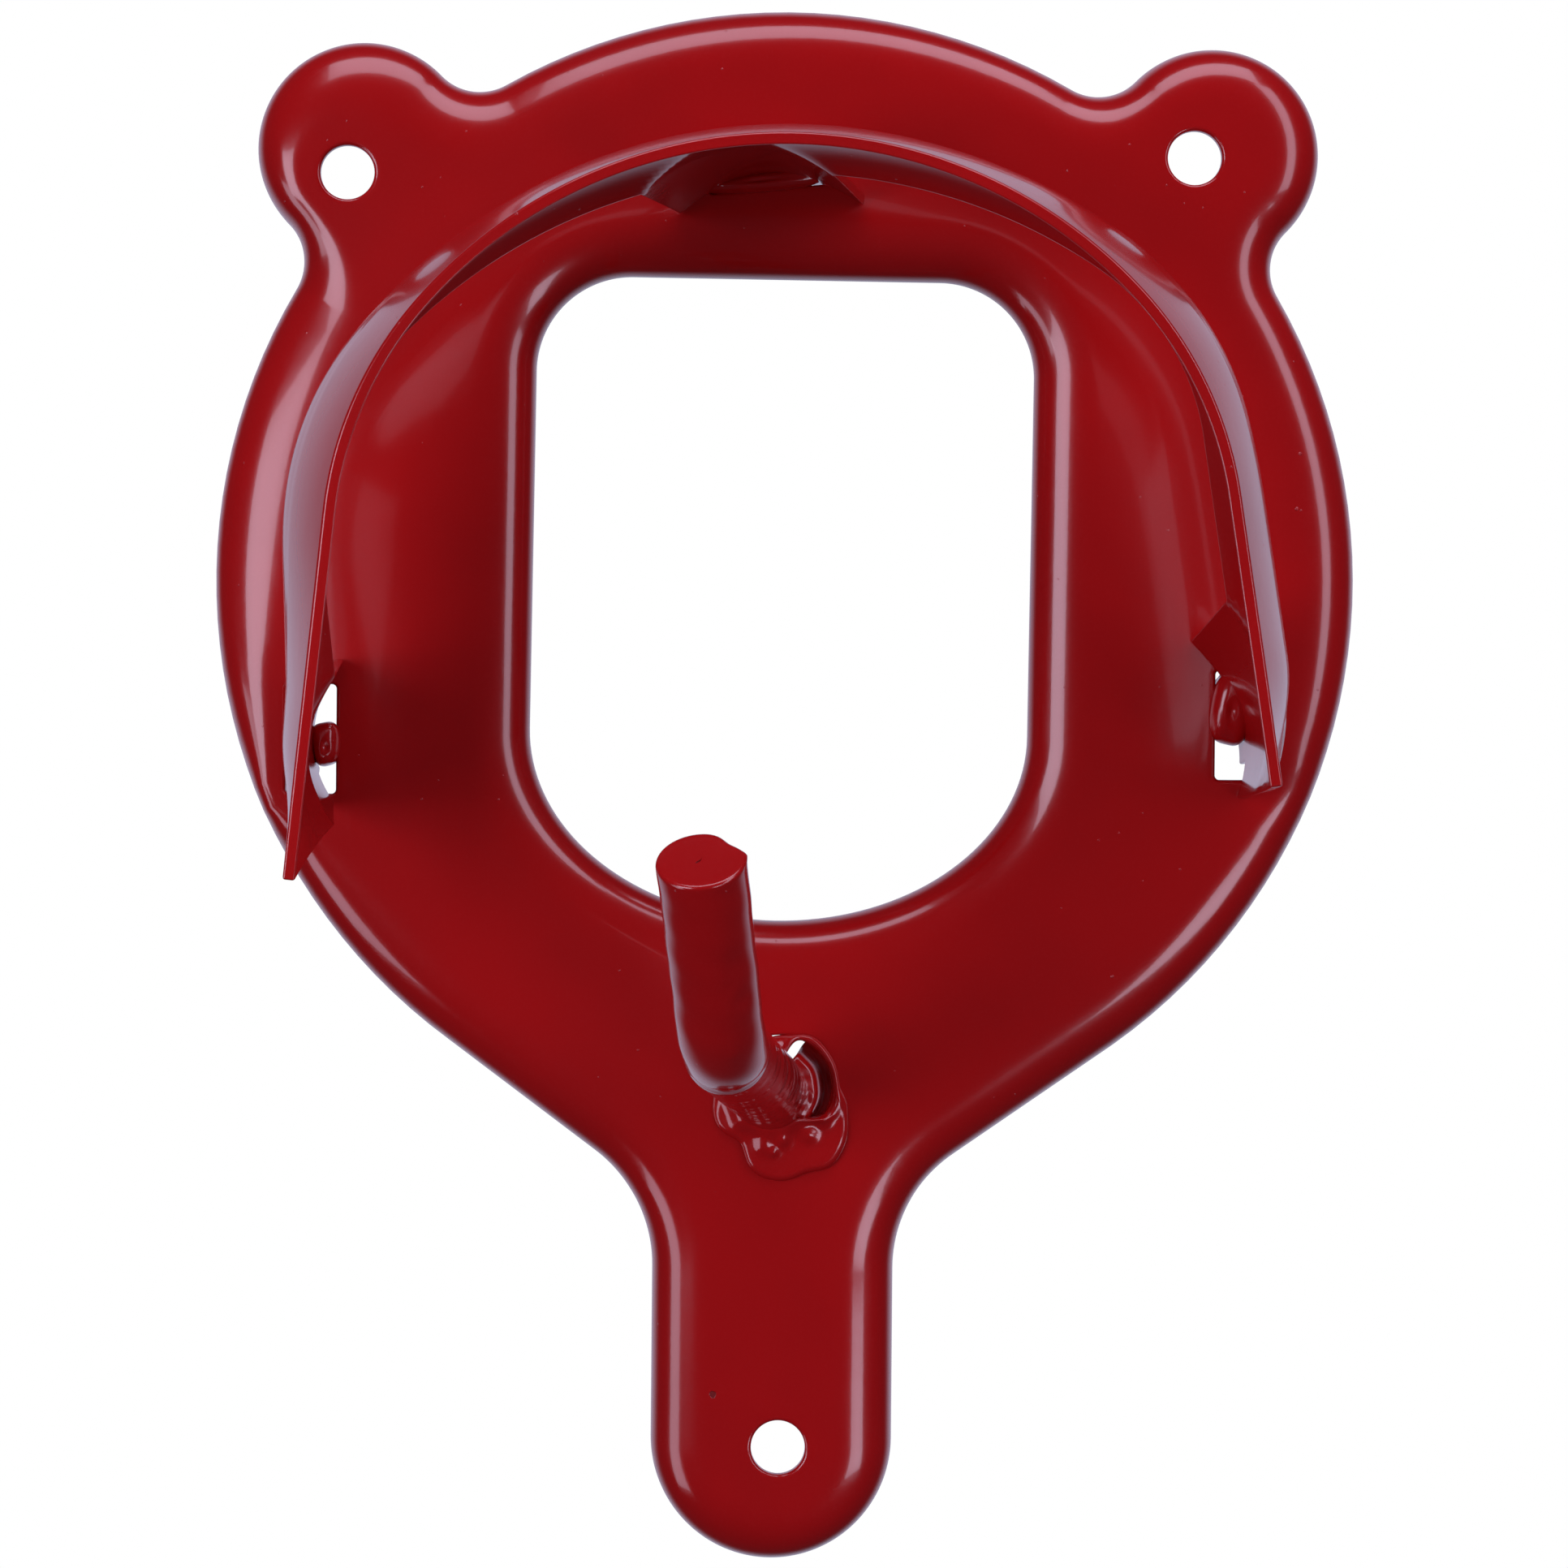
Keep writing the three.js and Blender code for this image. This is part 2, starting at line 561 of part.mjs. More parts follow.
// Bead inside a slot, between the tongue's inner face and the slot's inner side.
function archWeld(leg) {
  const { point, normal } = sheetAt(tongue(leg).middle, PLATE_DEPTH);
  const room = SLOT_WIDTH / 2 + leg.inset - ARCH_SHEET / 2;
  const across = room / 2 - GAP;
  const inwards = ARCH_SHEET / 2 + room / 2;
  const bead = new THREE.SphereGeometry(1, 16, 10);
  bead.scale(BEAD_LENGTH / 2, BEAD_DEPTH / 2, across);
  bead.rotateY(-Math.atan2(normal[1], normal[0]) + Math.PI / 2);
  bead.translate(
    point[0] - normal[0] * inwards, -PLATE_DEPTH, point[1] - normal[1] * inwards);
  return toGeometry(toManifold(bead));
}

// ==== assembly ======================================================================

const bracket = new THREE.Group();

function addPiece(name, geometry) {
  const paint = new THREE.MeshStandardMaterial({ color: 0x8c0f12, roughness: 0.25, metalness: 0 });
  const mesh = new THREE.Mesh(geometry, paint);
  mesh.name = name;
  bracket.add(mesh);
}

addPiece('back_plate', backPlate());
addPiece('bridle_arch', bridleArch());
addPiece('rein_hook', reinHook());
addPiece('hook_weld', hookWeld());
for (const leg of LEGS) addPiece(`arch_weld_${leg.name}`, archWeld(leg));

export default bracket;
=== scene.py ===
"""A wall bracket for a horse's bridle, in red powder-coated steel: a pressed plate, a bent
strap arch welded into it and a bent rod hook for the reins.
Sizes are written in millimetres and turned into metres where each mesh is made. +X is right,
+Z up, and the wall is the plane y = 0, with the bracket standing out towards -Y."""
import math
import bmesh
import bpy
import numpy as np
from mathutils.geometry import delaunay_2d_cdt
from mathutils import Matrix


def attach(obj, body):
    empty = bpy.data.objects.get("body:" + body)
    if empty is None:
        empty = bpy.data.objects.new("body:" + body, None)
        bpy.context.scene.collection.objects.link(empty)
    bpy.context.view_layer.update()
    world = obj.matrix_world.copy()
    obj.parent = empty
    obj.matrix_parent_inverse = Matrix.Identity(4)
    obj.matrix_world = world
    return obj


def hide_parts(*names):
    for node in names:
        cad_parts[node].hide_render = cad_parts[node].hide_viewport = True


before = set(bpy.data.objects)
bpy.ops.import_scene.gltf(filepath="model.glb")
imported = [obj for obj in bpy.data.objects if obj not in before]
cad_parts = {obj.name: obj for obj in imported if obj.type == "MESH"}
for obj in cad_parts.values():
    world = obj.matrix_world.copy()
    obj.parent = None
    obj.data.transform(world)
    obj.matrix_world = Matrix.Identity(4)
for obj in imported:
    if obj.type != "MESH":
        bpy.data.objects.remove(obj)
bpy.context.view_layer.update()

SHEET = 1.5
FACE = 8.0              # wall to the plate's front face
ROUND = 74.64           # radius of the round part
EAR = 14.0
EAR_BEARING = math.radians(45.3)
EAR_REACH = 4.36        # ear centres beyond the round part's edge
EAR_FILLET = 7.0
FLANK = math.radians(35.7)
TAIL_HALF = 15.8
TAIL_DOWN = 112.4
TAIL_LEFT = 0.8
TAIL_FILLET = 18.5
TAIL_SHIFT_FROM = 60.7  # depth below the middle where the shift to the left begins
TAIL_SHIFT_OVER = 20.1
ROLL = 8.0              # width of the rolled edge
ROLL_WALL = 1.0         # straight part of its section, at the wall
BRIDGE = 0.9            # flat sheet kept between the rolled edge and a hole's mouth
BRIDGE_SLACK = 0.4      # how far smoothing may take it into that
ROLL_POWER = 2.3        # superellipse power of its section
WINDOW_HALF = 32.6
WINDOW_TOP = 39.4
WINDOW_CORNER = 12.5
WINDOW_SHOULDER = -20.0
WINDOW_DROP = 24.6      # the round bottom's depth below the shoulder
WINDOW_LEFT = 0.4
WINDOW_TURN = math.radians(-0.6)
WINDOW_ROLL = 8.0
FLANGE = 6.0            # how deep the window's rim is turned in
FLANGE_WALL = 0.4       # straight part at its rear edge
SCREW_HOLE = 3.5        # radius
HOOK_HOLE = np.array([-0.3, -65.9])
HOOK_HOLE_RADIUS = 6.8
SLOT_HALF = 3.25        # half of a slot's width
SLOT_CORNER = 0.6
GUARD = 0.5             # flat margin between a rounded edge and the face it ends on
HEM = 0.35              # rounding of the sheet's cut edge
MOUTH = 0.5             # rounding of a punched hole's front edge
REAR_BREAK = 0.25       # rounding of its rear edge


def arc(x, z, radius, start, end, hollow=False, step=math.radians(2.5)):
    """Rows of a point on an arc and its heading, the way the point moves when the outline
    grows by one millimetre: away from the centre, or towards it on a hollow corner."""
    angle = np.linspace(start, end, max(3, math.ceil(abs(end - start) / step) + 1))
    away = np.stack([np.cos(angle), np.sin(angle)], axis=1)
    return np.hstack([[x, z] + radius * away, -away if hollow else away])


def mirrored(half):
    """A half outline from its top to its bottom, and its mirror image back to the top."""
    return np.vstack([half, half[-2:0:-1] * [-1, 1, -1, 1]])


def grown(outline, amount, out):
    """The outline moved out by each amount, at each distance from the wall: an array of rings."""
    amount = np.asarray(amount, float).reshape(len(out), -1, 1)
    flat = outline[None, :, :2] + amount * outline[None, :, 2:]
    depth = np.broadcast_to(-np.asarray(out, float).reshape(-1, 1, 1), flat.shape[:2] + (1,))
    return np.concatenate([flat[:, :, :1], depth, flat[:, :, 1:]], axis=2)


def tube(rings):
    """Vertices and quads of a skin through closed rings of equal count."""
    rows, count = rings.shape[:2]
    here = np.arange(rows * count).reshape(rows, count)
    side = np.roll(here, -1, axis=1)
    quads = np.stack([here[:-1], side[:-1], side[1:], here[1:]], axis=2)
    return rings.reshape(-1, 3), quads.reshape(-1, 4).tolist()


def flat_face(loops, out):
    """Triangles that fill the first loop apart from the others, at one distance from the wall.
    A triangle stays when a line from its middle crosses the loops an odd number of times."""
    points = np.vstack(loops)
    ends = np.cumsum([len(loop) for loop in loops])
    following = np.arange(1, len(points) + 1)
    following[ends - 1] = ends - [len(loop) for loop in loops]
    edges = np.stack([np.arange(len(points)), following], axis=1)
    made = delaunay_2d_cdt(points.tolist(), edges.tolist(), [], 0, 1e-6)
    where, faces = np.array(made[0]), np.array(made[2])
    middle = where[faces].mean(axis=1)
    a, b = points[None, edges[:, 0]], points[None, edges[:, 1]]
    x, z = middle[:, None, 0], middle[:, None, 1]
    level = (a[..., 1] > z) != (b[..., 1] > z)
    rise = np.where(b[..., 1] == a[..., 1], 1, b[..., 1] - a[..., 1])
    crossed = level & (x < a[..., 0] + (z - a[..., 1]) * (b[..., 0] - a[..., 0]) / rise)
    kept = faces[crossed.sum(axis=1) % 2 == 1]
    depth = np.full((len(where), 1), -out)
    return np.hstack([where[:, :1], depth, where[:, 1:]]), kept.tolist()


def body(name, parts, smooth=True):
    """One mesh object in metres out of parts in millimetres, each a (vertices, faces) pair.
    Points that meet are merged and the faces turned outwards."""
    vertices, faces, start = [], [], 0
    for points, part_faces in parts:
        vertices.append(points)
        faces += [[i + start for i in face] for face in part_faces]
        start += len(points)
    mesh = bpy.data.meshes.new(name)
    mesh.from_pydata((np.vstack(vertices) / 1000).tolist(), [], faces)
    shape = bmesh.new()
    shape.from_mesh(mesh)
    bmesh.ops.remove_doubles(shape, verts=shape.verts, dist=2e-6)
    bmesh.ops.dissolve_degenerate(shape, edges=shape.edges, dist=1e-7)
    bmesh.ops.recalc_face_normals(shape, faces=shape.faces)
    shape.to_mesh(mesh)
    shape.free()
    mesh.polygons.foreach_set("use_smooth", [smooth] * len(mesh.polygons))
    piece = bpy.data.objects.new(name, mesh)
    bpy.context.scene.collection.objects.link(piece)
    return piece


def fillet_bearing(side):
    """Centre of the fillet between the round part and the right ear, above it (1) or below."""
    span, to_round, to_ear = ROUND + EAR_REACH, ROUND + EAR_FILLET, EAR + EAR_FILLET
    along = (span**2 + to_round**2 - to_ear**2) / (2 * span)
    off = math.sqrt(to_round**2 - along**2) * side
    c, s = math.cos(EAR_BEARING), math.sin(EAR_BEARING)
    return c * along - s * off, s * along + c * off


ear_x = (ROUND + EAR_REACH) * math.cos(EAR_BEARING)
ear_z = (ROUND + EAR_REACH) * math.sin(EAR_BEARING)
(ax, az), (bx, bz) = fillet_bearing(1), fillet_bearing(-1)
to_ear_a, to_ear_b = math.atan2(ear_z - az, ear_x - ax), math.atan2(ear_z - bz, ear_x - bx)
tail_x = TAIL_HALF + TAIL_FILLET
tail_z = math.tan(FLANK) * tail_x - (ROUND + TAIL_FILLET) / math.cos(FLANK)
half = np.vstack([
    arc(0, 0, ROUND, math.pi / 2, math.atan2(az, ax)),
    arc(ax, az, EAR_FILLET, math.atan2(-az, -ax), to_ear_a, True)[1:],
    arc(ear_x, ear_z, EAR, to_ear_a + math.pi, to_ear_b - math.pi)[1:],
    arc(bx, bz, EAR_FILLET, to_ear_b, math.atan2(-bz, -bx) + 2 * math.pi, True)[1:],
    arc(0, 0, ROUND, math.atan2(bz, bx), FLANK - math.pi / 2)[1:],
    arc(tail_x, tail_z, TAIL_FILLET, FLANK + math.pi / 2, math.pi, True),
    arc(0, -TAIL_DOWN, TAIL_HALF, 0, -math.pi / 2),
])
plate_edge = mirrored(half)
ease = np.clip((-plate_edge[:, 1] - TAIL_SHIFT_FROM) / TAIL_SHIFT_OVER, 0, 1)
plate_edge[:, 0] -= TAIL_LEFT * ease**2 * (3 - 2 * ease)

drop = np.linspace(0, -math.pi / 2, 37)
round_bottom = np.stack([np.cos(drop), np.sin(drop)], axis=1)
window_edge = mirrored(np.vstack([
    [[0, WINDOW_TOP, 0, 1]],
    arc(WINDOW_HALF - WINDOW_CORNER, WINDOW_TOP - WINDOW_CORNER, WINDOW_CORNER, math.pi / 2, 0),
    np.hstack([round_bottom * [WINDOW_HALF, WINDOW_DROP] + [0, WINDOW_SHOULDER], round_bottom]),
]))
lean = np.array([[math.cos(WINDOW_TURN), math.sin(WINDOW_TURN)],
                 [-math.sin(WINDOW_TURN), math.cos(WINDOW_TURN)]])
window_edge = np.hstack([window_edge[:, :2] @ lean - [WINDOW_LEFT, 0], window_edge[:, 2:] @ lean])


def hole(x, z, half_long, half_wide, corner, turn=0.0):
    """Outline of a punched hole, a rectangle with round corners; a screw hole is all corner."""
    across, up = half_long - corner, half_wide - corner
    last = -1 if corner == half_long else None
    rim = np.vstack([
        arc(cx, cz, corner, math.radians(a), math.radians(a + 90), step=math.radians(6))[:last]
        for cx, cz, a in [(across, up, 0), (-across, up, 90), (-across, -up, 180), (across, -up, 270)]])
    c, s = math.cos(math.radians(turn)), math.sin(math.radians(turn))
    spin = np.array([[c, s], [-s, c]])
    return np.hstack([rim[:, :2] @ spin + [x, z], rim[:, 2:] @ spin])


screw_places = [(-ear_x - 1.7, ear_z - 3.8), (ear_x - 2.9, ear_z - 1), (0, -TAIL_DOWN - 0.2)]
screw_holes = [hole(x, z, SCREW_HOLE, SCREW_HOLE, SCREW_HOLE) for x, z in screw_places]
hook_hole = hole(*HOOK_HOLE, HOOK_HOLE_RADIUS, HOOK_HOLE_RADIUS, HOOK_HOLE_RADIUS)
slots = [hole(x, z, half_long, SLOT_HALF, SLOT_CORNER, turned) for x, z, half_long, turned in [
    (-61.34, -21.2, 7.1, 90), (-2.4, 53.9, 8.4, 5.5), (59.18, -18.4, 7.1, 90)]]

turn = np.linspace(0, math.pi / 2, 22)
inwards, rise = 1 - np.cos(turn) ** (2 / ROLL_POWER), np.sin(turn) ** (2 / ROLL_POWER)
hem = np.linspace(0, math.pi / 2, 5)
# The rolled edge is up to half as wide again on the left, where the press draws the sheet more
# softly, except down the tail, and narrower where a hole comes close to it.
leftness = np.clip(-plate_edge[:, 0] / ROUND, 0, 1)
above_tail = np.clip((plate_edge[:, 1] + 70) / 40, 0, 1)
wide = ROLL * (1 + 0.5 * leftness * above_tail)
mouth_rings = [edge[:, :2] + edge[:, 2:] * (MOUTH + GUARD) for edge in screw_holes + slots]
mouths = np.vstack([ring + (np.roll(ring, -1, axis=0) - ring) * step
                    for ring in mouth_rings for step in np.linspace(0, 1, 12, endpoint=False)])
clear = np.linalg.norm(plate_edge[:, None, :2] - mouths[None], axis=2).min(axis=1) - GUARD - BRIDGE
wide = np.minimum(wide, clear)
blur = np.exp(-(np.arange(-8, 9) / 4) ** 2)
smoothed = np.convolve(np.concatenate([wide[-8:], wide, wide[:8]]), blur / blur.sum(), "valid")
wide = np.minimum(smoothed, clear + BRIDGE_SLACK)


def rolled(edge, width, low, sign, skirt):
    """Rings of a sheet edge that is rolled back: the flat face, a superellipse down to the
    edge, a short wall, the hemmed end, and the same way back up inside at one sheet's depth."""
    width = np.broadcast_to(np.atleast_1d(width), len(edge))[None]
    outer = inwards[::-1, None] * width
    inner = SHEET + inwards[:, None] * (width - SHEET)
    even = np.ones_like(width)
    amounts = np.concatenate([
        width + GUARD, outer, even * (HEM * (1 - np.cos(hem)))[:, None],
        even * (SHEET - HEM * (1 - np.cos(hem[::-1])))[:, None], inner, width + GUARD])
    outs = np.concatenate([
        [FACE], low + (FACE - low) * rise[::-1], skirt + HEM * (1 - np.sin(hem)),
        skirt + HEM * (1 - np.sin(hem[::-1])), low + (FACE - SHEET - low) * rise, [FACE - SHEET]])
    return grown(edge, sign * amounts, outs)


def punched(edge):
    """Rings of a punched hole: flat face, rounded mouth, wall, and a small break behind."""
    quarter = np.linspace(0, math.pi / 2, 7)
    mouth = MOUTH * (1 - np.sin(quarter))
    back = REAR_BREAK * (1 - np.cos(quarter))
    amounts = np.concatenate([[MOUTH + GUARD], mouth, back, [REAR_BREAK + GUARD]])
    outs = np.concatenate([[FACE], FACE - MOUTH * (1 - np.cos(quarter)),
                           FACE - SHEET + REAR_BREAK * (1 - np.sin(quarter)), [FACE - SHEET]])
    return grown(edge, amounts, outs)


skins = [rolled(plate_edge, wide, ROLL_WALL, -1, 0.0),
         rolled(window_edge, WINDOW_ROLL, FACE - FLANGE + FLANGE_WALL, 1, FACE - FLANGE)]
skins += [punched(edge) for edge in screw_holes + [hook_hole] + slots]
plate = body("pressed_plate", [tube(rings) for rings in skins] + [
    flat_face([rings[0][:, [0, 2]] for rings in skins], FACE),
    flat_face([rings[-1][:, [0, 2]] for rings in skins], FACE - SHEET)])


class Shade:
    """A number in a material. Python arithmetic on it adds Math nodes."""

    def __init__(self, finish, socket):
        self.finish, self.socket = finish, socket

    def joined(self, operation, first, second):
        node = self.finish.node("ShaderNodeMath", {"operation": operation}, {0: first, 1: second})
        return Shade(self.finish, node.outputs[0])

    def __add__(self, other):
        return self.joined("ADD", self, other)

    def __sub__(self, other):
        return self.joined("SUBTRACT", self, other)

    def __mul__(self, other):
        return self.joined("MULTIPLY", self, other)

    __radd__ = __add__


class Finish:
    """A material or a world under construction. node() adds a node of any type: its settings
    first, then the values or links of its sockets."""

    def __init__(self, owner):
        owner.use_nodes = True
        self.tree = owner.node_tree
        self.tree.nodes.clear()

    def node(self, kind, settings=None, inputs=None):
        node = self.tree.nodes.new(kind)
        for key, value in (settings or {}).items():
            setattr(node, key, value)
        for key, value in (inputs or {}).items():
            value = value.socket if isinstance(value, Shade) else value
            if isinstance(value, bpy.types.NodeSocket):
                self.tree.links.new(value, node.inputs[key])
            else:
                node.inputs[key].default_value = value
        return node

    def noise(self, place, size, detail=2.0, roughness=0.5):
        """Smooth noise from 0 to 1 with features about `size` metres across."""
        node = self.node("ShaderNodeTexNoise", {"noise_dimensions": "3D"}, {
            "Vector": place, "Scale": 1 / size, "Detail": detail, "Roughness": roughness})
        return Shade(self, node.outputs[0])

    def ramp(self, value, low, high, first=0.0, last=1.0):
        """`value` from low to high, eased into first to last."""
        node = self.node("ShaderNodeMapRange", {"interpolation_type": "SMOOTHSTEP"}, {
            "Value": value, "From Min": low, "From Max": high, "To Min": first, "To Max": last})
        return Shade(self, node.outputs[0])

    def specks(self, place, spacing, radius, share):
        """1 on small round specks, 0 between: cells of a Voronoi pattern, of which a share has
        a speck of that radius at its middle."""
        cells = self.node("ShaderNodeTexVoronoi", {"feature": "F1"}, {
            "Vector": place, "Scale": 1 / spacing, "Randomness": 1.0})
        colour = self.node("ShaderNodeSeparateColor", {}, {"Color": cells.outputs["Color"]})
        near = self.ramp(cells.outputs["Distance"], radius / spacing * 0.35, radius / spacing, 1, 0)
        return near * self.ramp(colour.outputs[0], 1 - share, 1 - share + 0.02)


RED = (0.45, 0.0047, 0.0056, 1)
DEEP_RED = (0.34, 0.0035, 0.0042, 1)
PALE_RED = (0.5, 0.03, 0.034, 1)
PRIMER = (0.035, 0.008, 0.008, 1)


def powder_coat(name, peel=1.0, drift=1.0, marks=()):
    """Glossy red powder coat, baked on: a faint orange peel about 2 mm across, slow drifts in
    thickness that darken it slightly, dust nibs under the skin, and `marks`, each a place in
    metres, a radius and a depth from 0 to 1, where the coat is chipped down to dark primer."""
    material = bpy.data.materials.new(name)
    finish = Finish(material)
    place = finish.node("ShaderNodeTexCoord").outputs["Object"]
    skin = finish.noise(place, 0.0024, 2.0, 0.45)       # orange peel
    wave = finish.noise(place, 0.012, 1.0, 0.4)         # unevenness of the steel below
    cloud = finish.noise(place, 0.035, 3.0, 0.55)       # drifts in thickness
    grain = finish.noise(place, 0.0004, 2.0, 0.6)       # the powder itself
    nibs = finish.specks(place, 0.0062, 0.00028, 0.4)
    dust = finish.specks(place, 0.0026, 0.00016, 0.4)
    height = skin * (0.000016 * peel) + wave * (0.00006 * drift) + nibs * 0.00009 + dust * 0.00005
    chipped = None
    for centre, radius, depth in marks:
        away = finish.node("ShaderNodeVectorMath", {"operation": "DISTANCE"}, {0: place, 1: centre})
        tear = (finish.noise(place, 0.0008, 2.0) - 0.5) * (radius * 1.1)
        ragged = Shade(finish, away.outputs["Value"]) + tear
        spot = finish.ramp(ragged, radius * 0.75, radius, depth, 0)
        chipped = spot if chipped is None else chipped + spot
    tone = finish.node("ShaderNodeMix", {"data_type": "RGBA"}, {
        "Factor": finish.ramp(cloud, 0.3, 0.75, 0, 0.55), "A": RED, "B": DEEP_RED})
    tone = finish.node("ShaderNodeMix", {"data_type": "RGBA"}, {
        "Factor": nibs * 0.8 + dust * 0.6 + (grain - 0.5) * 0.3,
        "A": tone.outputs["Result"], "B": PALE_RED})
    colour = tone.outputs["Result"]
    rough = 0.2 + (cloud - 0.5) * 0.1 + (grain - 0.5) * 0.06
    if chipped is not None:
        colour = finish.node("ShaderNodeMix", {"data_type": "RGBA"}, {
            "Factor": chipped, "A": colour, "B": PRIMER}).outputs["Result"]
        height = height - chipped * 0.00012
        rough = rough + chipped * 0.3
    bump = finish.node("ShaderNodeBump", {}, {"Height": height, "Strength": 1.0, "Distance": 1.0})
    paint = finish.node("ShaderNodeBsdfPrincipled", {}, {
        "Base Color": colour, "Roughness": rough, "IOR": 1.5, "Specular IOR Level": 0.5,
        "Coat Weight": 0.5, "Coat Roughness": 0.06, "Coat IOR": 1.5, "Normal": bump.outputs["Normal"]})
    finish.node("ShaderNodeOutputMaterial", {}, {"Surface": paint.outputs["BSDF"]})
    return material


plate.data.materials.append(powder_coat("plate_powder_coat", marks=[
    ((-0.0425, -0.004, 0.0655), 0.0011, 0.9), ((-0.0405, -0.0035, 0.0652), 0.0008, 0.8),
    ((-0.0085, -0.008, -0.1058), 0.0005, 0.6)]))
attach(plate, "root")
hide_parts("back_plate")

# ---- bridle arch -------------------------------------------------------------------------
# A strap of the same sheet, pressed to a shallow crown and bent into an arch. Three lugs
# behind it run back to the plate, and their tongues enter the slots, where they are welded.
STRAP = 23.7            # width, front to back
STANDOFF = 26.3         # wall to the strap's rear edge
CROWN = 3.3             # bulge of its section
RIGHT_CROWN = 4.4       # the same at its right side
LEFT_CROWN = 3.9        # the same at its left side
CROWN_FADE = 16.0       # length at each end over which the bulge flattens out
PEAK = 0.34             # where across its width it bulges most, from the rear edge
FALL_POWER = 1.5        # how the bulge falls from there to the front edge
LUG_BULGE = 3.5
BLEND = 0.12            # rounding between the lugs' bulge and the strap's
LUG_FOOT = FACE + 0.3   # where the lugs' shoulders end, just clear of the plate
LEFT_CORNER = np.array([-2.6, 3.6])   # how far the strap's lower left rear corner is pressed off
RIGHT_CORNER = np.array([4.0, 4.0])   # the same for the lower corner of the right foot
TWIST = math.radians(3.15)
LEAN = 1.0              # how far the lugs lean in at the plate
TONGUE = 13.4
TONGUE_END = 3.4        # wall to the tongues' ends
LUGS = [(0.0, 0.0955), (0.441, 0.546), (0.896, 1.0)]   # shares of the strap's length
FEET = np.array([(-1.1, -1), (2, 0), (-0.8, -1.9)])    # how far they are set off, to the right and up
FRONT_EDGE = {"x": -1.15, "z": -2, "turn": 1.4, "top": 53, "top_radius": 56.8, "shoulder_radius": 44.8,
              "half_width": 54.7, "splay": 7.3, "left": 118.8, "right": 109.5}
REAR_EDGE = {"x": -3.2, "z": 8.85, "turn": 7.7, "top": 41.6, "top_radius": 68.6, "shoulder_radius": 31.1,
             "half_width": 56.05, "splay": 0.9, "left": 114, "right": 120.6}
REAR_LENGTH = REAR_EDGE["left"] + REAR_EDGE["right"]


def edge_at(edge, share):
    """Points and outward normals at shares of an edge from its left end to its right: a round
    top, tighter shoulders and straight splayed sides, turned a little about the wall's normal."""
    length = -edge["left"] + (edge["left"] + edge["right"]) * share
    splay = math.radians(edge["splay"])
    nx, nz = math.cos(splay), math.sin(splay)
    centre_z = edge["top"] - edge["top_radius"]
    start_x = edge["half_width"] - edge["shoulder_radius"] * nx
    start_z = -edge["shoulder_radius"] * nz - centre_z
    reach = edge["top_radius"] - edge["shoulder_radius"]
    b = -start_x * nz + start_z * nx
    along = -b + math.sqrt(b * b - start_x**2 - start_z**2 + reach**2)
    shoulder_x, shoulder_z = start_x - along * nz, start_z + along * nx
    top_turn, side_turn = math.atan2(shoulder_x, shoulder_z), math.pi / 2 - splay
    top_length = edge["top_radius"] * top_turn
    bent_length = top_length + edge["shoulder_radius"] * (side_turn - top_turn)
    s = np.abs(length)
    on_top = s < top_length
    angle = np.where(on_top, s / edge["top_radius"],
                     np.minimum(side_turn, top_turn + (s - top_length) / edge["shoulder_radius"]))
    radius = np.where(on_top, edge["top_radius"], edge["shoulder_radius"])
    straight = np.maximum(0, s - bent_length)
    x = np.where(on_top, 0, shoulder_x) + radius * np.sin(angle) + straight * nz
    z = np.where(on_top, centre_z, shoulder_z + centre_z) + radius * np.cos(angle) - straight * nx
    side = np.where(length < 0, -1, 1)
    c, q = math.cos(math.radians(edge["turn"])), math.sin(math.radians(edge["turn"]))
    px, normal_x, normal_z = side * x, side * np.sin(angle), np.cos(angle)
    return (np.stack([edge["x"] + px * c - z * q, edge["z"] + px * q + z * c], axis=-1),
            np.stack([normal_x * c - normal_z * q, normal_x * q + normal_z * c], axis=-1))


def eased(value, low, high):
    """0 below low, 1 above high and a smooth step between."""
    t = np.clip((value - low) / (high - low), 0, 1)
    return t * t * (3 - 2 * t)


def softer(a, b, blend):
    """The larger of two values, rounded over where they cross."""
    return (a + b + np.sqrt((a - b) ** 2 + blend**2)) / 2


